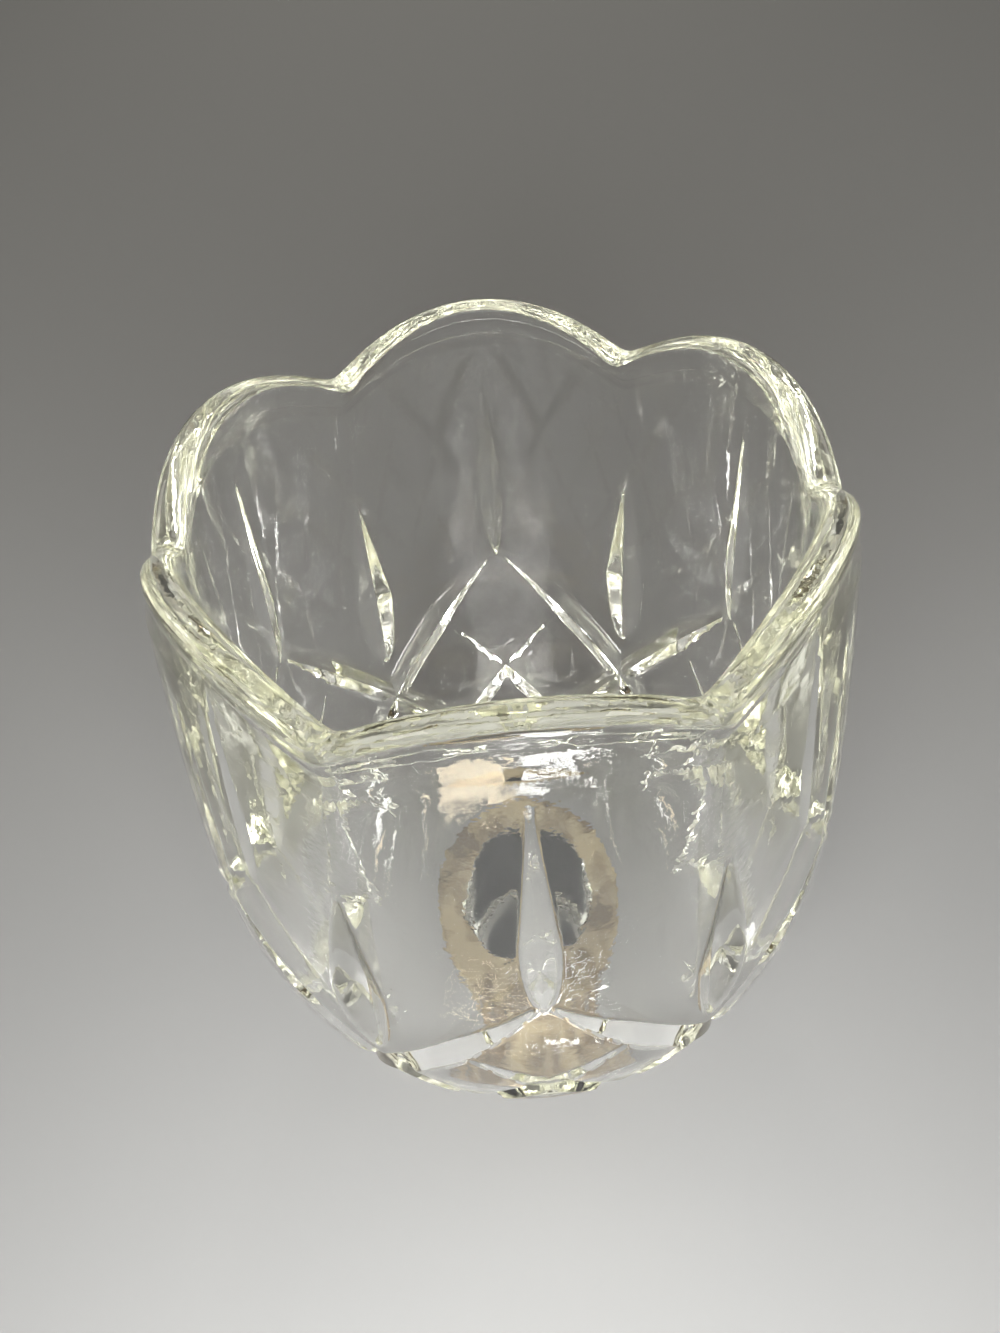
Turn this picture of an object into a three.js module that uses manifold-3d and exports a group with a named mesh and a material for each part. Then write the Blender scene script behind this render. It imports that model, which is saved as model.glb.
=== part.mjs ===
// A clear pressed glass candle cup with a rim of six lobes, the peg under it that stands in
// a candlestick, and the soft sleeve on the peg. Millimetres and degrees, Z up.
// The origin is the middle of the peg's flat end, and a lobe of the rim faces -Y.
import * as THREE from 'three';
import Module from 'manifold-3d';
import { mergeVertices } from 'three/addons/utils/BufferGeometryUtils.js';

const wasm = await Module();
wasm.setup();

// Driving dimensions of the cup. A drop is measured down from the level of the rim's dips.
const lobeCount = 6;
const lobeRise = 7.2;
const dipRounding = 0.11;
const crownDepth = 22;
const bellyRadius = 40.2;
const bellyDrop = 30.4;
const barrelArc = 290;
const baseArc = 66;
const baseArcDrop = 36;
const heelArc = 14;
const heelAngle = 25;
const beadRadius = 2.1;
const beadInset = 0.2;
const beadDrop = 0.9;
const beadStartAngle = -25;
const beadSquareness = 3;
const wallTopDrop = 4;
const floorThickness = 5.6;
const cavityDish = 0.6;
const cavityArc = 11;
const cavityDraft = 0.9;

// Driving dimensions of the cut pattern on the outside of the cup. All the cuts are open V
// grooves. A length is measured down the outside's section from the level of the dips.
const mitreApexDrop = 32;
const mitreCrossingDrop = 53.3;
const mitreDepth = 1.7;
const mitreHalfAngle = 53;
const mitreRunIn = 15;
const mitreGrowth = 1.1;
const secondMitreStart = 17;
const mitreFadeLength = 12;
const mitreFadeOverrun = 3;
const cornerCutTop = 17.5;
const cornerCutBottom = 47;
const cornerCutDepth = 1.9;
const cornerCutHalfAngle = 60;
const middleCutTop = 7;
const middleCutBottom = 33;
const middleCutDepth = 1.05;
const middleCutHalfAngle = 63;
const uprightGrowth = 0.9;
const uprightBluntness = 0.42;
const cutClearance = 1;

// Driving dimensions of the peg and its sleeve.
const pegLength = 22;
const pegRootRadius = 9.6;
const pegTaper = 0.7;
const pegTipRounding = 1.4;
const sleeveClearance = 0.25;
const sleeveWall = 1.4;
const sleeveLength = 15;
const sleeveLeadIn = 0.7;
const flangeOverhang = 3;
const flangeThickness = 1.6;
const flangeRounding = 0.4;
const seatGap = 0.3;

// How finely the round forms are divided.
const columns = 72;
const pegSides = 48;
const mitreStations = 7;
const uprightStations = 4;
const arcSteps = 5;
const barrelSteps = 4;
const beadSteps = 7;
const wallShares = [0.15, 0.4, 1];

const radians = THREE.MathUtils.degToRad;
const lobePitch = 360 / lobeCount;
const cutPitch = lobePitch / 2;

// Height of the scalloped rim at an angle, from 0 in a dip to 1 at the middle of a lobe. Each lobe
// is a parabola, and it meets its neighbour in a rounded dip.
function lobe(angle) {
  const fromMiddle = Math.abs(THREE.MathUtils.euclideanModulo(angle, lobePitch) / cutPitch - 1);
  const own = 1 - fromMiddle ** 2;
  const neighbour = 1 - (2 - fromMiddle) ** 2;
  return (own + neighbour + Math.hypot(own - neighbour, 2 * dipRounding)) / 2;
}

// Where the base arc and the heel arc start, worked out from the barrel above them.
const baseStartAngle = Math.atan((baseArcDrop - bellyDrop) / barrelArc);
const baseStartRadius = bellyRadius - (baseArcDrop - bellyDrop) ** 2 / (2 * barrelArc);
const baseEndAngle = radians(heelAngle);
const heelDrop = baseArcDrop + baseArc * (Math.sin(baseEndAngle) - Math.sin(baseStartAngle));
const heelRadius = baseStartRadius - baseArc * (Math.cos(baseStartAngle) - Math.cos(baseEndAngle));
const cupDepth = heelDrop + heelArc * (1 - Math.sin(baseEndAngle));
const footRadius = heelRadius - heelArc * Math.cos(baseEndAngle);
const baseEnd = baseArcDrop + baseArc * (baseEndAngle - baseStartAngle);
const heelEnd = baseEnd + heelArc * (Math.PI / 2 - baseEndAngle);

// Where the bead round the mouth and the cavity lie.
const mouthWallRadius = bellyRadius - bellyDrop ** 2 / (2 * barrelArc);
const beadCentreRadius = mouthWallRadius - beadInset - beadRadius;
const cavityRadius = beadCentreRadius - beadRadius;
const cavityFloorDrop = cupDepth - floorThickness;
const cavityArcDrop = cavityFloorDrop - cavityDish - cavityArc;

// Radius, drop and lean of the uncut outside at a length down its section.
function wall(length) {
  if (length <= baseArcDrop) {
    const radius = bellyRadius - (length - bellyDrop) ** 2 / (2 * barrelArc);
    return [radius, length, Math.atan((length - bellyDrop) / barrelArc)];
  }
  if (length <= baseEnd) {
    const lean = baseStartAngle + (length - baseArcDrop) / baseArc;
    const radius = baseStartRadius - baseArc * (Math.cos(baseStartAngle) - Math.cos(lean));
    return [radius, baseArcDrop + baseArc * (Math.sin(lean) - Math.sin(baseStartAngle)), lean];
  }
  const lean = Math.min(baseEndAngle + (length - baseEnd) / heelArc, Math.PI / 2);
  const drop = cupDepth - heelArc + heelArc * Math.sin(lean);
  return [footRadius + heelArc * Math.cos(lean), drop, lean];
}

function steps(from, to, count) {
  return Array.from({ length: count + 1 }, (_, i) => from + (to - from) * i / count);
}

// Points between two angles round a centre, as [radius, drop]. They lie on a circle or, with a
// higher squareness, on a squarer curve of the same width and height.
function arc(centreRadius, centreDrop, size, from, to, count, squareness = 2) {
  return steps(from, to, count).map((angle) => {
    const across = Math.cos(radians(angle));
    const up = Math.sin(radians(angle));
    const spread = Math.abs(across) ** squareness + Math.abs(up) ** squareness;
    const reach = size / spread ** (1 / squareness);
    return [centreRadius + reach * across, centreDrop - reach * up];
  });
}

// The cup's section as [radius, drop] points, from the middle of its underside up the outside,
// over the bead and down the inside to the middle of the cavity's floor.
function cupSection() {
  const heel = steps(heelEnd, baseEnd, arcSteps);
  const base = steps(baseEnd, baseArcDrop, arcSteps).slice(1);
  const barrel = steps(baseArcDrop, wallTopDrop, barrelSteps).slice(1);
  const outside = [...heel, ...base, ...barrel].map((length) => wall(length).slice(0, 2));
  const bead = arc(
    beadCentreRadius, beadDrop, beadRadius, beadStartAngle, 180, beadSteps, beadSquareness,
  );
  const inside = wallShares.map((share) => [
    cavityRadius - cavityDraft * share,
    beadDrop + (cavityArcDrop - beadDrop) * share,
  ]);
  const arcCentre = cavityRadius - cavityDraft - cavityArc;
  const floor = arc(arcCentre, cavityArcDrop, cavityArc, 0, -90, arcSteps).slice(1);
  return [[0, cupDepth], ...outside, ...bead, ...inside, ...floor, [0, cavityFloorDrop]];
}

// A point of the cup. Near the rim it is lifted by the lobes, and the lift fades out below.
function cupPoint(radius, drop, angle) {
  const crown = THREE.MathUtils.clamp(1 - (drop - beadDrop) / crownDepth, 0, 1);
  const height = pegLength + (cupDepth - drop) + crown * lobeRise * lobe(angle);
  const a = radians(angle);
  return [radius * Math.cos(a), radius * Math.sin(a), height];
}

// A closed surface through rings of points, with one point at each end.
function ringSurface(startPoint, rings, endPoint) {
  const count = rings[0].length;
  const points = [startPoint, ...rings.flat(), endPoint];
  const triangles = [];
  const index = (ring, i) => 1 + ring * count + i % count;
  for (let i = 0; i < count; i++) {
    triangles.push(0, index(0, i + 1), index(0, i));
    for (let ring = 0; ring + 1 < rings.length; ring++) {
      triangles.push(index(ring, i), index(ring, i + 1), index(ring + 1, i + 1));
      triangles.push(index(ring, i), index(ring + 1, i + 1), index(ring + 1, i));
    }
    triangles.push(index(rings.length - 1, i), index(rings.length - 1, i + 1), points.length - 1);
  }
  const geometry = new THREE.BufferGeometry();
  geometry.setAttribute('position', new THREE.Float32BufferAttribute(points.flat(), 3));
  geometry.setIndex(triangles);
  return geometry;
}

function toSolid(geometry) {
  const bare = geometry.clone();
  bare.deleteAttribute('normal');
  bare.deleteAttribute('uv');
  const merged = mergeVertices(bare);
  return new wasm.Manifold(new wasm.Mesh({
    numProp: 3,
    vertProperties: new Float32Array(merged.attributes.position.array),
    triVerts: new Uint32Array(merged.index.array),
  }));
}

function toGeometry(solid) {
  const mesh = solid.getMesh();
  const geometry = new THREE.BufferGeometry();
  geometry.setAttribute('position', new THREE.BufferAttribute(mesh.vertProperties, 3));
  geometry.setIndex(new THREE.BufferAttribute(mesh.triVerts, 1));
  const faceted = geometry.toNonIndexed();
  faceted.computeVertexNormals();
  return faceted;
}

// The solid that a V cut takes away. It follows stations of { angle, length, depth }.
function cutter(stations, halfAngle) {
  const flank = Math.tan(radians(halfAngle));
  const at = stations.map(({ angle, length }) => {
    const [radius, drop] = wall(length);
    return new THREE.Vector3(...cupPoint(radius, drop, angle));
  });
  const rings = stations.map(({ angle, length, depth }, i) => {
    const lean = wall(length)[2];
    const outwards = new THREE.Vector3(Math.cos(lean), 0, -Math.sin(lean));
    outwards.applyAxisAngle(new THREE.Vector3(0, 0, 1), radians(angle));
    const along = at[Math.min(i + 1, at.length - 1)].clone().sub(at[Math.max(i - 1, 0)]).normalize();
    const sideways = new THREE.Vector3().crossVectors(outwards, along).normalize();
    const halfWidth = (depth + cutClearance) * flank;
    const profile = [[0, -depth], [halfWidth, cutClearance], [-halfWidth, cutClearance]];
    return profile.map(([side, out]) => at[i].clone()
      .addScaledVector(sideways, side).addScaledVector(outwards, out).toArray());
  });
  return toSolid(closeRings(rings));
}

function closeRings(rings) {
  const middle = (ring) => ring.reduce((sum, p) => sum.map((v, i) => v + p[i] / ring.length), [0, 0, 0]);
  return ringSurface(middle(rings[0]), rings, middle(rings.at(-1)));
}

// Mitre cuts fall both ways round from the middle of each lobe and, starting lower, from each
// dip. They meet at two levels below and fade out on the heel.
function mitreCuts() {
  const crossingSine = Math.sin(baseStartAngle) + (mitreCrossingDrop - baseArcDrop) / baseArc;
  const crossing = baseArcDrop + baseArc * (Math.asin(crossingSine) - baseStartAngle);
  const fallPerDegree = (crossing - mitreApexDrop) / cutPitch;
  const netBottom = mitreApexDrop + fallPerDegree * lobePitch;
  const starts = steps(0, 360, 2 * lobeCount).slice(1);
  return starts.flatMap((start, k) => [-1, 1].map((hand) => {
    const startTurn = k % 2 === 0 ? 0 : secondMitreStart;
    const stations = steps(startTurn, lobePitch, mitreStations).map((turn) => {
      const length = mitreApexDrop + fallPerDegree * turn;
      const share = Math.min((turn - startTurn) / mitreRunIn, 1);
      const toEnd = (netBottom + mitreFadeOverrun - length) / mitreFadeLength;
      const fade = THREE.MathUtils.clamp(toEnd, 0, 1);
      return { angle: start + hand * turn, length, depth: mitreDepth * share ** mitreGrowth * fade };
    });
    return cutter(stations, mitreHalfAngle);
  }));
}

// An upright cut: pointed at its top, deepest below its middle and rounded at its bottom.
function uprightCut(angle, top, bottom, depth, halfAngle) {
  const deepest = 1 - uprightBluntness;
  const shares = [...steps(0, deepest, uprightStations), ...steps(deepest, 1, 2).slice(1)];
  const stations = shares.map((share) => {
    const grown = (share / deepest) ** uprightGrowth;
    const ending = Math.sqrt(Math.max(1 - ((share - deepest) / uprightBluntness) ** 2, 0));
    return {
      angle,
      length: top + (bottom - top) * share,
      depth: depth * (share > deepest ? ending : grown),
    };
  });
  return cutter(stations, halfAngle);
}

function glassCup() {
  const angles = steps(0, 360, columns).slice(0, -1);
  const section = cupSection();
  const rings = section.slice(1, -1).map(([r, drop]) => angles.map((angle) => cupPoint(r, drop, angle)));
  const start = [0, 0, pegLength];
  const end = [0, 0, pegLength + cupDepth - section.at(-1)[1]];
  let cup = toSolid(ringSurface(start, rings, end));
  const cuts = mitreCuts();
  for (let k = 0; k < lobeCount; k++) {
    const dip = k * lobePitch;
    cuts.push(uprightCut(dip, cornerCutTop, cornerCutBottom, cornerCutDepth, cornerCutHalfAngle));
    const middle = dip + cutPitch;
    cuts.push(uprightCut(middle, middleCutTop, middleCutBottom, middleCutDepth, middleCutHalfAngle));
  }
  for (const cut of cuts) {
    cup = cup.subtract(cut);
  }
  return toGeometry(cup);
}

// A closed solid turned round the Z axis from [radius, height] points.
function turned(points) {
  const profile = points.map(([radius, height]) => new THREE.Vector2(radius, height));
  return new THREE.LatheGeometry(profile, pegSides).rotateX(Math.PI / 2);
}

function pegRadius(height) {
  return pegRootRadius - pegTaper * (1 - height / pegLength);
}

// The peg tapers a little to its end, where the edge is rounded and the end itself is flat.
function glassPeg() {
  const centre = pegRadius(0) - pegTipRounding;
  const edge = arc(centre, -pegTipRounding, pegTipRounding, -90, 0, arcSteps);
  const outline = edge.map(([radius, drop]) => [radius, -drop]);
  return turned([[0, 0], ...outline, [pegRootRadius, pegLength], [0, pegLength]]);
}

// The sleeve fits round the peg, and its flange lies under the cup.
function pegSleeve() {
  const top = pegLength - seatGap;
  const bottom = top - sleeveLength;
  const flangeBottom = top - flangeThickness;
  const bore = (height) => pegRadius(height) + sleeveClearance;
  const outside = bore(top) + sleeveWall;
  const flangeRadius = outside + flangeOverhang;
  return turned([
    [bore(bottom), bottom],
    [outside - sleeveLeadIn, bottom],
    [outside, bottom + sleeveLeadIn],
    [outside, flangeBottom],
    [flangeRadius - flangeRounding, flangeBottom],
    [flangeRadius, flangeBottom + flangeRounding],
    [flangeRadius, top - flangeRounding],
    [flangeRadius - flangeRounding, top],
    [bore(top), top],
    [bore(bottom), bottom],
  ]);
}

function piece(name, geometry, colour, roughness) {
  const material = new THREE.MeshStandardMaterial({ color: colour, roughness, metalness: 0 });
  const mesh = new THREE.Mesh(geometry, material);
  mesh.name = name;
  return mesh;
}

const holder = new THREE.Group();
holder.add(piece('glass_cup', glassCup(), 0xdfe3d8, 0.05));
holder.add(piece('glass_peg', glassPeg(), 0xdfe3d8, 0.08));
holder.add(piece('peg_sleeve', pegSleeve(), 0xe4e2da, 0.45));

export default holder;
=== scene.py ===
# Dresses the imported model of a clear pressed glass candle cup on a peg.
# Sizes are in millimetres and degrees until mm() or math.radians() turns them.
import math

import bmesh
import bpy
from mathutils import Matrix, Vector


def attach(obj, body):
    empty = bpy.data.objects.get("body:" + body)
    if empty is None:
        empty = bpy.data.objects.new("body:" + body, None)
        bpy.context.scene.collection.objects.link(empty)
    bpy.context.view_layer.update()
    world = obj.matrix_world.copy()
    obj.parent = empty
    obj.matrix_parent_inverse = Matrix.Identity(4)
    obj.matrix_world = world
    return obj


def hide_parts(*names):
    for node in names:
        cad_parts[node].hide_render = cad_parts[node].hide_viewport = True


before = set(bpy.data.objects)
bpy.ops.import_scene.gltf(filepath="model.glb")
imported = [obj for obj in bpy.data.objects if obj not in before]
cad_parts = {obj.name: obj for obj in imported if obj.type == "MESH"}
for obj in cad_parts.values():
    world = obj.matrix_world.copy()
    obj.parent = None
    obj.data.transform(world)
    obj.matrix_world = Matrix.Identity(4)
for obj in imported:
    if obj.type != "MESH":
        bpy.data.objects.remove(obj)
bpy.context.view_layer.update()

# The cup and its peg
# One piece of clear soda-lime glass, pressed in a hot mould and fire polished. The peg goes into
# the socket of a candlestick. The rim has six lobes, and the outside carries upright cuts and a
# net of slanting mitre cuts, all of them open V grooves.
lobe_count = 6
lobe_rise = 7.2
dip_rounding = 0.11
crown_depth = 22.0
# The belly is kept 0.03 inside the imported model's, so that the finer facets stay in its box.
belly_radius = 40.17
belly_drop = 30.4
barrel_arc = 290.0
base_arc = 66.0
base_arc_drop = 36.0
heel_arc = 14.0
heel_angle = 25.0
bead_radius = 2.1
bead_inset = 0.2
bead_drop = 0.9
bead_start_angle = -25.0
bead_squareness = 3.0
floor_thickness = 5.6
cavity_dish = 0.6
cavity_arc = 11.0
cavity_draft = 0.9
peg_length = 22.0
peg_root_radius = 9.6
peg_taper = 0.7
peg_tip_rounding = 1.4
peg_root_fillet = 0.25

mitre_apex_drop = 32.0
mitre_crossing_drop = 53.3
mitre_depth = 1.7
mitre_half_angle = 53.0
first_mitre_start = 0.0
second_mitre_start = 17.0
mitre_run_in = 15.0
mitre_growth = 1.1
mitre_fade_length = 12.0
mitre_fade_overrun = 3.0
corner_cut_top = 17.5
corner_cut_bottom = 47.0
corner_cut_depth = 1.9
corner_cut_half_angle = 60.0
middle_cut_top = 7.0
middle_cut_bottom = 33.0
middle_cut_depth = 1.05
middle_cut_half_angle = 63.0
upright_growth = 0.9
upright_bluntness = 0.42
cut_root_softness = 0.03
cut_edge_softness = 0.06
sharp_edge_angle = 28.0
# A depth that stands for no cut, well outside the glass.
uncut = -1.0

half_pitch = 180.0 / lobe_count
cells_per_lobe = 60
rows_above_apex = 78
rows_to_crossing = cells_per_lobe
bead_rows = 14
inside_rows = 12
floor_rows = 8
foot_rows = 5
peg_rows = 5
seam_width = 0.01


def mm(value):
    return value / 1000.0


def mix(low, high, share):
    return low + (high - low) * share


def clamp(value):
    return min(max(value, 0.0), 1.0)


def lobe(angle):
    """Height of the scalloped rim, from 0 in a dip to 1 at the middle of a lobe."""
    from_middle = abs(angle % (2 * half_pitch) / half_pitch - 1)
    own = 1 - from_middle ** 2
    neighbour = 1 - (2 - from_middle) ** 2
    return (own + neighbour + math.hypot(own - neighbour, 2 * dip_rounding)) / 2


base_start_angle = math.atan((base_arc_drop - belly_drop) / barrel_arc)
base_start_radius = belly_radius - (base_arc_drop - belly_drop) ** 2 / (2 * barrel_arc)
base_end_angle = math.radians(heel_angle)
base_rise = math.sin(base_end_angle) - math.sin(base_start_angle)
heel_drop = base_arc_drop + base_arc * base_rise
base_reach = math.cos(base_start_angle) - math.cos(base_end_angle)
heel_radius = base_start_radius - base_arc * base_reach
cup_depth = heel_drop + heel_arc * (1 - math.sin(base_end_angle))
foot_radius = heel_radius - heel_arc * math.cos(base_end_angle)
base_end = base_arc_drop + base_arc * (base_end_angle - base_start_angle)
heel_end = base_end + heel_arc * (math.pi / 2 - base_end_angle)

mouth_wall_radius = belly_radius - belly_drop ** 2 / (2 * barrel_arc)
bead_centre_radius = mouth_wall_radius - bead_inset - bead_radius
cavity_radius = bead_centre_radius - bead_radius
cavity_floor_drop = cup_depth - floor_thickness
cavity_arc_drop = cavity_floor_drop - cavity_dish - cavity_arc


def wall(length):
    """Radius, drop and lean of the uncut outside at a length down its section."""
    if length <= base_arc_drop:
        radius = belly_radius - (length - belly_drop) ** 2 / (2 * barrel_arc)
        return radius, length, math.atan((length - belly_drop) / barrel_arc)
    if length <= base_end:
        lean = base_start_angle + (length - base_arc_drop) / base_arc
        radius = base_start_radius - base_arc * (math.cos(base_start_angle) - math.cos(lean))
        drop = base_arc_drop + base_arc * (math.sin(lean) - math.sin(base_start_angle))
        return radius, drop, lean
    lean = min(base_end_angle + (length - base_end) / heel_arc, math.pi / 2)
    radius = foot_radius + heel_arc * math.cos(lean)
    drop = cup_depth - heel_arc + heel_arc * math.sin(lean)
    return radius, drop, lean


crossing_lean = math.asin(
    math.sin(base_start_angle) + (mitre_crossing_drop - base_arc_drop) / base_arc
)
mitre_crossing = base_arc_drop + base_arc * (crossing_lean - base_start_angle)
row_step = (mitre_crossing - mitre_apex_drop) / rows_to_crossing
mitre_fall = row_step * cells_per_lobe / half_pitch
net_bottom = mitre_apex_drop + 2 * (mitre_crossing - mitre_apex_drop)


def v_cut(aside, depth, half_angle):
    """Depth of a V cut at a distance aside of its root, which the fire polish has softened."""
    aside = math.hypot(aside, cut_root_softness) - cut_root_softness
    return depth - aside / math.tan(math.radians(half_angle))


def mitre_cut(turn, length, radius, start_turn):
    """Depth of the V cuts that fall both ways from a lobe's middle or, starting lower, a dip."""
    deepest = -mitre_depth
    across = math.radians(radius)
    fade = clamp((net_bottom + mitre_fade_overrun - length) / mitre_fade_length)
    for hand in (-1, 1):
        along = hand * turn
        if along < start_turn:
            continue
        off_line = length - (mitre_apex_drop + mitre_fall * along)
        aside = abs(off_line) * across / math.hypot(across, mitre_fall)
        share = min((along - start_turn) / mitre_run_in, 1)
        depth = mitre_depth * share ** mitre_growth * fade
        deepest = max(deepest, v_cut(aside, depth, mitre_half_angle))
    return deepest


def upright_cut(turn, length, radius, top, bottom, depth, half_angle):
    """Depth of an upright V cut: pointed at its top and blunt at its bottom."""
    share = (length - top) / (bottom - top)
    if not 0 < share < 1:
        return -depth
    deepest = 1 - upright_bluntness
    if share < deepest:
        here = depth * (share / deepest) ** upright_growth
    else:
        here = depth * math.sqrt(1 - ((share - deepest) / upright_bluntness) ** 2)
    return v_cut(abs(math.radians(turn)) * radius, here, half_angle)


# Cuts start at every half pitch, from a dip and from a lobe's middle in turn. Counted from the dip
# at 0 degrees, these bounds take in all the cuts that reach the first sector.
first_reaching_cut = -2
last_reaching_cut = 5
corner_cut = (corner_cut_top, corner_cut_bottom, corner_cut_depth, corner_cut_half_angle)
middle_cut = (middle_cut_top, middle_cut_bottom, middle_cut_depth, middle_cut_half_angle)


def cut_depth(angle, length, radius):
    """How far the mould's pattern lies below the uncut outside at one point."""
    deepest = uncut
    for k in range(first_reaching_cut, last_reaching_cut + 1):
        turn = angle - k * half_pitch
        is_lobe = k % 2 == 1
        start_turn = first_mitre_start if is_lobe else second_mitre_start
        upright = middle_cut if is_lobe else corner_cut
        deepest = max(deepest, mitre_cut(turn, length, radius, start_turn),
                      upright_cut(turn, length, radius, *upright))
    return (deepest + math.hypot(deepest, cut_edge_softness)) / 2


def cup_point(radius, drop, angle):
    """A point of the cup, lifted near the rim by the lobes."""
    crown = clamp(1 - (drop - bead_drop) / crown_depth)
    height = peg_length + cup_depth - drop + crown * lobe_rise * lobe(angle)
    a = math.radians(angle)
    return mm(radius * math.cos(a)), mm(radius * math.sin(a)), mm(height)


def arc_point(centre_radius, centre_drop, size, angle, squareness=2.0):
    """A point of a rounded section: a circle, or a squarer curve of the same width and height."""
    a = math.radians(angle)
    spread = abs(math.cos(a)) ** squareness + abs(math.sin(a)) ** squareness
    size = size / spread ** (1 / squareness)
    return centre_radius + size * math.cos(a), centre_drop - size * math.sin(a)


def net_row(row):
    """One row of the outside. Odd rows are shifted by half a cell, so edges follow the cuts."""
    length = mitre_apex_drop + (row - rows_above_apex) * row_step
    radius, drop, lean = wall(length)
    cell = 2 * half_pitch / cells_per_lobe
    points = []
    for column in range(cells_per_lobe + 1):
        angle = cell * (column + (row % 2) / 2)
        depth = cut_depth(angle, length, radius)
        cut_radius = radius - depth * math.cos(lean)
        points.append(cup_point(cut_radius, drop - depth * math.sin(lean), angle))
    return points


def plain_row(radius, drop):
    cell = 2 * half_pitch / cells_per_lobe
    return [cup_point(radius, drop, cell * column) for column in range(cells_per_lobe + 1)]


net_rows = 2 * round((heel_end - mitre_apex_drop) / row_step / 2) + rows_above_apex


def peg_section():
    """From the middle of the peg's end up to the underside of the cup, as radius and height."""
    tip_radius = peg_root_radius - peg_taper
    centre = tip_radius - peg_tip_rounding
    section = [(0.0, 0.0)]
    for i in range(peg_rows + 1):
        a = math.radians(mix(-90, 0, i / peg_rows))
        height = peg_tip_rounding * (1 + math.sin(a))
        section.append((centre + peg_tip_rounding * math.cos(a), height))
    section.append((peg_root_radius, peg_length - peg_root_fillet))
    section.append((peg_root_radius + peg_root_fillet, peg_length))
    return section


def cup_rows():
    """Every row of one sector, from the peg's end up the outside, over the bead and down inside."""
    rows = [plain_row(radius, peg_length + cup_depth - height) for radius, height in peg_section()]
    inner = peg_root_radius + peg_root_fillet
    for i in range(1, foot_rows):
        rows.append(plain_row(mix(inner, foot_radius, i / foot_rows), cup_depth))
    foot_end = len(rows)
    rows += [net_row(row) for row in range(net_rows, -1, -1)]
    net_end = len(rows) - 1
    for i in range(bead_rows + 1):
        angle = mix(bead_start_angle, 180, i / bead_rows)
        rows.append(plain_row(*arc_point(bead_centre_radius, bead_drop, bead_radius, angle,
                                         bead_squareness)))
    for i in range(1, inside_rows + 1):
        share = i / inside_rows
        drop = mix(bead_drop, cavity_arc_drop, share)
        rows.append(plain_row(cavity_radius - cavity_draft * share, drop))
    arc_centre = cavity_radius - cavity_draft - cavity_arc
    for i in range(1, floor_rows + 1):
        angle = mix(0, -90, i / floor_rows)
        rows.append(plain_row(*arc_point(arc_centre, cavity_arc_drop, cavity_arc, angle)))
    for i in range(1, foot_rows + 1):
        share = i / foot_rows
        drop = cavity_floor_drop - cavity_dish * (1 - share) ** 2
        rows.append(plain_row(mix(arc_centre, 0, share), drop))
    return rows, foot_end, net_end


def sector_mesh(name, rows, net_start=0, net_end=0):
    """Joins rows of points into one sector. In the net, each cell is split along its height."""
    count = len(rows[0])
    points = [point for row in rows for point in row]
    faces = []

    def at(row, column):
        return row * count + column

    for row in range(len(rows) - 1):
        if net_start <= row < net_end:
            continue
        for column in range(count - 1):
            faces.append((at(row, column), at(row, column + 1),
                          at(row + 1, column + 1), at(row + 1, column)))
    for row in range(net_start + 1, net_end):
        below, above = row - 1, row + 1
        shift = (row - net_start) % 2
        for column in range(count - 1):
            middle = at(row, column if shift else column + 1)
            faces.append((at(below, column), middle, at(above, column)))
            faces.append((at(below, column + 1), at(above, column + 1), middle))
    if net_end > net_start:
        for column in range(count - 1):
            faces.append((at(net_start, column), at(net_start, column + 1),
                          at(net_start + 1, column)))
            faces.append((at(net_end, column + 1), at(net_end, column), at(net_end - 1, column)))
    mesh = bpy.data.meshes.new(name)
    mesh.from_pydata(points, [], faces)
    return mesh


def add_node(tree, kind, settings=None, links=None):
    """Adds a node, sets its properties or input values, and links its inputs by name or number."""
    node = tree.nodes.new(kind)
    for key, value in (settings or {}).items():
        if isinstance(key, str) and hasattr(node, key):
            setattr(node, key, value)
        else:
            node.inputs[key].default_value = value
    for key, socket in (links or {}).items():
        tree.links.new(socket, node.inputs[key])
    return node


def repeat_round_axis():
    """A tree that repeats a sector round the Z axis, closes its seams and gives it a material."""
    tree = bpy.data.node_groups.new("repeat_round_axis", "GeometryNodeTree")
    face = tree.interface
    face.new_socket("Sector", in_out="INPUT", socket_type="NodeSocketGeometry")
    face.new_socket("Count", in_out="INPUT", socket_type="NodeSocketInt")
    face.new_socket("Seam width", in_out="INPUT", socket_type="NodeSocketFloat")
    face.new_socket("Material", in_out="INPUT", socket_type="NodeSocketMaterial")
    face.new_socket("Ring", in_out="OUTPUT", socket_type="NodeSocketGeometry")
    given = add_node(tree, "NodeGroupInput").outputs
    line = add_node(tree, "GeometryNodeMeshLine", {"Offset": (0, 0, 0)}, {"Count": given["Count"]})
    index = add_node(tree, "GeometryNodeInputIndex")
    pitch = add_node(tree, "ShaderNodeMath", {"operation": "DIVIDE", 0: math.tau},
                     {1: given["Count"]})
    angle = add_node(tree, "ShaderNodeMath", {"operation": "MULTIPLY"},
                     {0: index.outputs[0], 1: pitch.outputs[0]})
    euler = add_node(tree, "ShaderNodeCombineXYZ", None, {"Z": angle.outputs[0]})
    turn = add_node(tree, "FunctionNodeEulerToRotation", None, {0: euler.outputs[0]})
    ring = add_node(tree, "GeometryNodeInstanceOnPoints", None, {
        "Points": line.outputs[0], "Instance": given["Sector"], "Rotation": turn.outputs[0],
    })
    real = add_node(tree, "GeometryNodeRealizeInstances", None, {"Geometry": ring.outputs[0]})
    closed = add_node(tree, "GeometryNodeMergeByDistance", None,
                      {"Geometry": real.outputs[0], "Distance": given["Seam width"]})
    smooth = add_node(tree, "GeometryNodeSetShadeSmooth", None, {"Geometry": closed.outputs[0]})
    dressed = add_node(tree, "GeometryNodeSetMaterial", None,
                       {"Geometry": smooth.outputs[0], "Material": given["Material"]})
    add_node(tree, "NodeGroupOutput", None, {0: dressed.outputs[0]})
    return tree


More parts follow.
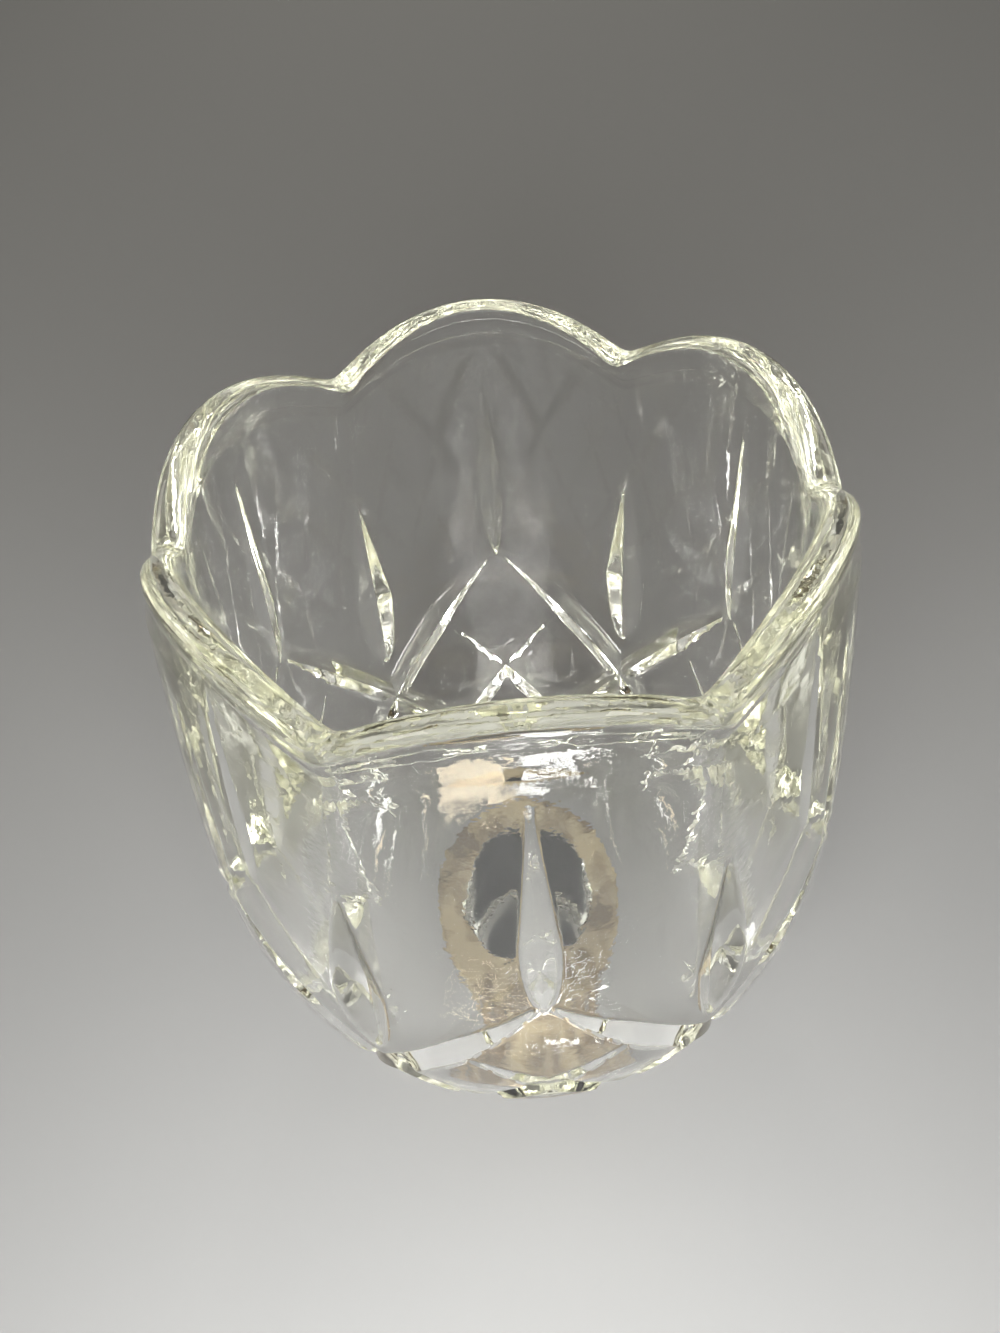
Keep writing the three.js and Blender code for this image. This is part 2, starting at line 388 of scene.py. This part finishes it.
def ring_of(sector, count, material, tree):
    """Runs the tree on a sector and keeps its result as a plain mesh object."""
    seed = bpy.data.objects.new(sector.name + "_sector", sector)
    bpy.context.scene.collection.objects.link(seed)
    modifier = seed.modifiers.new("ring", "NODES")
    modifier.node_group = tree
    values = {"Count": count, "Seam width": mm(seam_width), "Material": material}
    for item in tree.interface.items_tree:
        if item.in_out == "INPUT" and item.name in values:
            modifier[item.identifier] = values[item.name]
    seed.update_tag()
    bpy.context.view_layer.update()
    evaluated = seed.evaluated_get(bpy.context.evaluated_depsgraph_get())
    mesh = bpy.data.meshes.new_from_object(evaluated)
    mesh.name = sector.name
    mesh.set_sharp_from_angle(angle=math.radians(sharp_edge_angle))
    bpy.data.objects.remove(seed)
    piece = bpy.data.objects.new(sector.name, mesh)
    bpy.context.scene.collection.objects.link(piece)
    return piece


def check_closed(piece):
    """Stops the script if a piece has an open edge or is turned inside out."""
    work = bmesh.new()
    work.from_mesh(piece.data)
    open_edges = sum(not edge.is_manifold for edge in work.edges)
    volume = work.calc_volume(signed=True)
    work.free()
    if open_edges or volume <= 0:
        raise RuntimeError(f"{piece.name}: {open_edges} open edges, volume {volume}")


def linear(hex_colour):
    """An sRGB hex colour as linear red, green, blue and alpha."""
    channels = [int(hex_colour[i:i + 2], 16) / 255 for i in (1, 3, 5)]
    return [c / 12.92 if c <= 0.04045 else ((c + 0.055) / 1.055) ** 2.4 for c in channels] + [1.0]


def new_material(name):
    material = bpy.data.materials.new(name)
    material.use_nodes = True
    material.node_tree.nodes.clear()
    return material, material.node_tree


# Fire-polished soda-lime glass: clear under a thin film of age, with a faint yellow-green cast
# where the eye looks along the wall, and slow upright ripples left by the mould that make
# everything behind it waver. The inside, which the plunger shaped, is smoother. The rim has a
# fine grain, which breaks up the light that runs along it.
glass_ior = 1.52
glass_roughness = 0.015
glass_film = "#f9f9f9"
glass_cast = "#e9eabc"
glass_cast_per_metre = 6.0
ripple_width = 6.0
ripple_stretch = 2.5
ripple_height = 0.1
smooth_inside_radius = 35.0
rippled_outside_radius = 37.5
ripple_share_inside = 0.12
chill_width = 1.3
chill_height = 0.009
rim_grain_width = 1.6
rim_grain_height = 0.04
rim_outside_radius = 38.6
rim_lowest = 84.0


def pressed_glass():
    material, tree = new_material("fire_polished_pressed_glass")
    place = add_node(tree, "ShaderNodeTexCoord").outputs["Object"]
    stretched = add_node(tree, "ShaderNodeVectorMath", {
        "operation": "MULTIPLY", 1: (1, 1, 1 / ripple_stretch),
    }, {0: place})
    ripple = add_node(tree, "ShaderNodeTexNoise", {"Scale": 1 / mm(ripple_width), "Detail": 1.0},
                      {"Vector": stretched.outputs[0]})
    chill = add_node(tree, "ShaderNodeTexNoise",
                     {"Scale": 1 / mm(chill_width), "Detail": 2.0}, {"Vector": place})
    flat_place = add_node(tree, "ShaderNodeVectorMath", {"operation": "MULTIPLY", 1: (1, 1, 0)},
                          {0: place})
    from_axis = add_node(tree, "ShaderNodeVectorMath", {"operation": "LENGTH"},
                         {0: flat_place.outputs[0]})
    side = add_node(tree, "ShaderNodeMapRange", {
        "From Min": mm(smooth_inside_radius), "From Max": mm(rippled_outside_radius),
        "To Min": ripple_share_inside, "To Max": 1.0,
    }, {"Value": from_axis.outputs["Value"]})
    waves = add_node(tree, "ShaderNodeMath", {"operation": "MULTIPLY"},
                     {0: ripple.outputs[0], 1: side.outputs[0]})
    in_rim = add_node(tree, "ShaderNodeMath", {
        "operation": "COMPARE", 1: mm((rim_outside_radius + smooth_inside_radius) / 2),
        2: mm((rim_outside_radius - smooth_inside_radius) / 2),
    }, {0: from_axis.outputs["Value"]})
    up = add_node(tree, "ShaderNodeSeparateXYZ", None, {0: place}).outputs["Z"]
    high = add_node(tree, "ShaderNodeMath", {"operation": "GREATER_THAN", 1: mm(rim_lowest)},
                    {0: up})
    on_rim = add_node(tree, "ShaderNodeMath", {"operation": "MULTIPLY"},
                      {0: in_rim.outputs[0], 1: high.outputs[0]})
    grain = add_node(tree, "ShaderNodeTexNoise", {"Scale": 1 / mm(rim_grain_width), "Detail": 2.0},
                     {"Vector": place})
    rim_grain = add_node(tree, "ShaderNodeMath", {"operation": "MULTIPLY"},
                         {0: grain.outputs[0], 1: on_rim.outputs[0]})
    rim = add_node(tree, "ShaderNodeBump", {"Distance": mm(rim_grain_height)},
                   {"Height": rim_grain.outputs[0]})
    slow = add_node(tree, "ShaderNodeBump", {"Distance": mm(ripple_height)},
                    {"Height": waves.outputs[0], "Normal": rim.outputs[0]})
    fine = add_node(tree, "ShaderNodeBump", {"Distance": mm(chill_height)},
                    {"Height": chill.outputs[0], "Normal": slow.outputs[0]})
    surface = add_node(tree, "ShaderNodeBsdfPrincipled", {
        "Base Color": linear(glass_film), "Roughness": glass_roughness, "IOR": glass_ior,
        "Transmission Weight": 1.0,
    }, {"Normal": fine.outputs[0]})
    body = add_node(tree, "ShaderNodeVolumeAbsorption",
                    {"Color": linear(glass_cast), "Density": glass_cast_per_metre})
    add_node(tree, "ShaderNodeOutputMaterial", None,
             {"Surface": surface.outputs[0], "Volume": body.outputs[0]})
    return material


ring_tree = repeat_round_axis()
rows, foot_end, net_end = cup_rows()
sector = sector_mesh("pressed_cup_with_peg", rows, foot_end, net_end)
cup = ring_of(sector, lobe_count, pressed_glass(), ring_tree)
check_closed(cup)
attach(cup, "cup")
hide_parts("glass_cup", "glass_peg")

# The peg's sleeve
# A soft vinyl sleeve, moulded in one piece, that is pushed up the peg until its flange lies
# under the cup. Its upright ribs grip the inside of the candlestick's socket.
sleeve_clearance = 0.25
sleeve_wall = 1.4
sleeve_length = 15.0
sleeve_lead_in = 0.7
flange_overhang = 3.0
flange_thickness = 1.6
flange_rounding = 0.4
seat_gap = 0.3
rib_count = 24
rib_height = 0.4
flange_ring_gap = 1.0
cells_per_rib = 8
rounding_steps = 4


def peg_radius(height):
    return peg_root_radius - peg_taper * (1 - height / peg_length)


def sleeve_sector():
    """One rib and the valleys beside it, as rings of radius, height and share of the rib."""
    def inside(height):
        return peg_radius(height) + sleeve_clearance

    top = peg_length - seat_gap
    bottom = top - sleeve_length
    under = top - flange_thickness
    outside = inside(top) + sleeve_wall
    flange = outside + flange_overhang
    section = [(inside(bottom), bottom, 0.0)]
    for i in range(rounding_steps + 1):
        a = math.radians(mix(-90, 0, i / rounding_steps))
        radius = outside - sleeve_lead_in * (1 - math.cos(a))
        section.append((radius, bottom + sleeve_lead_in * (1 + math.sin(a)), i / rounding_steps))
    section.append((outside, under - flange_ring_gap, 1.0))
    section.append((outside, under, 1.0))
    for i in range(2 * rounding_steps + 1):
        a = math.radians(mix(-90, 90, i / (2 * rounding_steps)))
        middle = mix(under + flange_rounding, top - flange_rounding, i / (2 * rounding_steps))
        radius = flange - flange_rounding * (1 - math.cos(a))
        section.append((radius, middle + flange_rounding * math.sin(a), 0.0))
    section.append((inside(top), top, 0.0))
    section.append((inside(bottom), bottom, 0.0))
    rows = []
    for radius, height, ribbed in section:
        row = []
        for column in range(cells_per_rib + 1):
            share = column / cells_per_rib
            a = math.radians(360 / rib_count * share)
            crest = abs(math.sin(share * math.pi))
            r = radius - ribbed * rib_height * (1 - crest)
            row.append((mm(r * math.cos(a)), mm(r * math.sin(a)), mm(height)))
        rows.append(row)
    return sector_mesh("vinyl_peg_sleeve", rows)


# Plasticised vinyl, moulded: half clear and yellowed by age, unevenly, from a warm cream to light
# brown, with a soft satin gloss. Its grain is drawn coarser than the real one, so that it shows.
vinyl_cream = "#f8e2b2"
vinyl_brown = "#957a50"
vinyl_stain_width = 5.0
vinyl_stain_range = (0.4, 0.62)
vinyl_grain_width = 0.6
vinyl_grain_height = 0.02
vinyl_roughness_range = (0.08, 0.2)
vinyl_transmission = 0.35
vinyl_ior = 1.53


def soft_vinyl():
    material, tree = new_material("soft_clear_vinyl")
    place = add_node(tree, "ShaderNodeTexCoord").outputs["Object"]
    grain = add_node(tree, "ShaderNodeTexNoise",
                     {"Scale": 1 / mm(vinyl_grain_width), "Detail": 3.0}, {"Vector": place})
    gloss = add_node(tree, "ShaderNodeMapRange", {
        "To Min": vinyl_roughness_range[0], "To Max": vinyl_roughness_range[1],
    }, {"Value": grain.outputs[0]})
    relief = add_node(tree, "ShaderNodeBump", {"Distance": mm(vinyl_grain_height)},
                      {"Height": grain.outputs[0]})
    stain = add_node(tree, "ShaderNodeTexNoise",
                     {"Scale": 1 / mm(vinyl_stain_width), "Detail": 2.0}, {"Vector": place})
    aged = add_node(tree, "ShaderNodeMapRange", {
        "From Min": vinyl_stain_range[0], "From Max": vinyl_stain_range[1],
    }, {"Value": stain.outputs[0]})
    colour = add_node(tree, "ShaderNodeMix", {
        "data_type": "RGBA", 6: linear(vinyl_cream), 7: linear(vinyl_brown),
    }, {0: aged.outputs[0]})
    surface = add_node(tree, "ShaderNodeBsdfPrincipled", {
        "IOR": vinyl_ior, "Transmission Weight": vinyl_transmission,
    }, {"Base Color": colour.outputs[2], "Roughness": gloss.outputs[0],
        "Normal": relief.outputs[0]})
    add_node(tree, "ShaderNodeOutputMaterial", None, {"Surface": surface.outputs[0]})
    return material


sleeve = ring_of(sleeve_sector(), rib_count, soft_vinyl(), ring_tree)
check_closed(sleeve)
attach(sleeve, "sleeve")
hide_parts("peg_sleeve")

# The studio: a plain pale floor
# Smooth painted board, matt and pale grey, so wide that its edge lies on the horizon.
floor_colour = "#a2a2a1"
floor_roughness = 0.8
floor_half_width = 2500.0


def painted_board():
    material, tree = new_material("painted_board")
    surface = add_node(tree, "ShaderNodeBsdfPrincipled",
                       {"Base Color": linear(floor_colour), "Roughness": floor_roughness})
    add_node(tree, "ShaderNodeOutputMaterial", None, {"Surface": surface.outputs[0]})
    return material


corners = [(-1, -1), (1, -1), (1, 1), (-1, 1)]
board = bpy.data.meshes.new("studio_floor")
edge = mm(floor_half_width)
board.from_pydata([(x * edge, y * edge, 0) for x, y in corners], [], [(0, 1, 2, 3)])
board.materials.append(painted_board())
floor = bpy.data.objects.new("studio_floor", board)
bpy.context.scene.collection.objects.link(floor)

# The studio's light
# Soft boxes round the glass, each aimed at it, in a pale room. The glass doesn't mirror the one in
# front, which would show as a white patch. Two small ones behind stand for a room's windows.
white = "#ffffff"
warm_white = "#fffaf0"
window_yellow = "#ffeccb"
room_colour = "#f1efe8"
room_strength = 0.1
room_strength_low = 0.22
room_strength_high = 0.85
room_pale_from = 0.7
room_shade_in_front = 0.5
room_shade_range = (-0.7, 0.1)
most_turns = 32
brightest_indirect = 30
cup_middle = Vector((0, 0, mm(peg_length + cup_depth / 2)))


def soft_box(name, spot, size, watts, colour, mirrored=True):
    """A lamp that no camera sees, aimed at the middle of the cup."""
    lamp = bpy.data.lights.new(name, "AREA")
    lamp.shape = "RECTANGLE"
    lamp.size = mm(size[0])
    lamp.size_y = mm(size[1])
    lamp.energy = watts
    lamp.color = linear(colour)[:3]
    holder = bpy.data.objects.new(name, lamp)
    holder.location = Vector([mm(v) for v in spot])
    aim = (cup_middle - holder.location).to_track_quat("-Z", "Y")
    holder.rotation_euler = aim.to_euler()
    holder.visible_camera = False
    holder.visible_glossy = mirrored
    bpy.context.scene.collection.objects.link(holder)


soft_box("soft_box_front", spot=(-15, -165, 130), size=(120, 100), watts=0.8, colour=white,
         mirrored=False)
soft_box("soft_box_above", spot=(0, -120, 620), size=(190, 190), watts=0.22, colour=white)
soft_box("soft_box_left", spot=(-450, 60, 470), size=(280, 200), watts=0.48, colour=warm_white)
soft_box("soft_box_right", spot=(450, 60, 470), size=(280, 200), watts=0.42, colour=warm_white)
soft_box("soft_box_back", spot=(0, 720, 300), size=(375, 200), watts=0.33, colour=warm_white)
soft_box("window_left", spot=(-24, 500, 750), size=(49, 31), watts=0.1, colour=window_yellow)
soft_box("window_right", spot=(29, 499, 791), size=(53, 50), watts=0.28, colour=white)

# The room is dim for the floor. The glass shows it pale overhead, and darker towards the floor and
# on the camera's side. Both follow the ray's direction, whose length is 1.
world = bpy.data.worlds.new("pale_room")
world.use_nodes = True
world.node_tree.nodes.clear()
rays = add_node(world.node_tree, "ShaderNodeLightPath").outputs
bent = add_node(world.node_tree, "ShaderNodeMath", {"operation": "MAXIMUM"},
                {0: rays["Is Glossy Ray"], 1: rays["Is Transmission Ray"]})
seen = add_node(world.node_tree, "ShaderNodeMath", {"operation": "MAXIMUM"},
                {0: rays["Is Camera Ray"], 1: bent.outputs[0]})
towards = add_node(world.node_tree, "ShaderNodeSeparateXYZ", None, {
    0: add_node(world.node_tree, "ShaderNodeTexCoord").outputs["Generated"],
}).outputs
height = add_node(world.node_tree, "ShaderNodeMapRange", {
    "From Max": room_pale_from, "To Min": room_strength_low, "To Max": room_strength_high,
}, {"Value": towards["Z"]})
shade = add_node(world.node_tree, "ShaderNodeMapRange", {
    "From Min": room_shade_range[0], "From Max": room_shade_range[1],
    "To Min": room_shade_in_front,
}, {"Value": towards["Y"]})
shown = add_node(world.node_tree, "ShaderNodeMath", {"operation": "MULTIPLY"},
                 {0: height.outputs[0], 1: shade.outputs[0]})
strength = add_node(world.node_tree, "ShaderNodeMapRange", {"To Min": room_strength},
                    {"Value": seen.outputs[0], "To Max": shown.outputs[0]})
light = add_node(world.node_tree, "ShaderNodeBackground", {"Color": linear(room_colour)},
                 {"Strength": strength.outputs[0]})
add_node(world.node_tree, "ShaderNodeOutputWorld", None, {"Surface": light.outputs[0]})
bpy.context.scene.world = world
bpy.context.scene.view_settings.view_transform = "Standard"

# Light that enters the rim runs down inside the wall and turns back many times before it leaves.
light_paths = bpy.context.scene.cycles
light_paths.max_bounces = most_turns
light_paths.glossy_bounces = most_turns
light_paths.transmission_bounces = most_turns
light_paths.sample_clamp_indirect = brightest_indirect

# The camera
# It looks down into the cup from close by, at the photograph's angle, and is held a little askew.
camera_spot = Vector((-1.8, -116.6, 181.75))
camera_aim = Vector((-1.14, 0.0, 72.14))
camera_roll = -5.24
focal_length_px = 1320.7
picture_height_px = 1333
sensor_side = 36.0
nearest_seen = 5.0

lens = bpy.data.cameras.new("camera")
lens.sensor_width = sensor_side
lens.lens = focal_length_px * sensor_side / picture_height_px
lens.clip_start = mm(nearest_seen)
camera = bpy.data.objects.new("camera", lens)
look = (camera_aim - camera_spot).to_track_quat("-Z", "Y").to_matrix().to_4x4()
roll = Matrix.Rotation(math.radians(camera_roll), 4, "Z")
camera.matrix_world = Matrix.Translation(camera_spot / 1000) @ look @ roll
bpy.context.scene.collection.objects.link(camera)
bpy.context.scene.camera = camera
